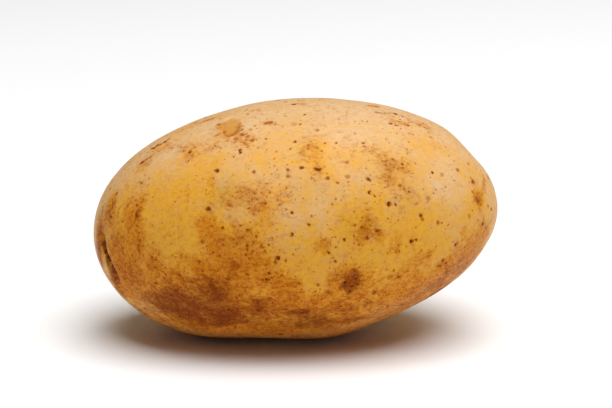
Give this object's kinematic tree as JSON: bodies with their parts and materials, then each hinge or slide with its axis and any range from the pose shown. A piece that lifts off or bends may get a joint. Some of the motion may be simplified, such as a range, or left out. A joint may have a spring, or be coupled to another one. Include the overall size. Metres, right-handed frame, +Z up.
{
  "type": "potato",
  "caption": "Whole unpeeled potato: a blunt oval tuber, slightly tipped up at one end, that lies on a small flat of its underside.",
  "frame": {"origin": "middle of the base of the tuber's box, on the level of the flat that it rests on", "axes": "+X along the tuber towards the bud end, which is tipped up about 6 degrees; +Z up, out of the surface that it lies on; the front is at -Y"},
  "size_m": [0.1096, 0.0696, 0.065],
  "materials": {
    "potato_skin": "dull, unpolished skin"
  },
  "bodies": {
    "root": {"potato": "potato_skin"}
  },
  "joints": []
}
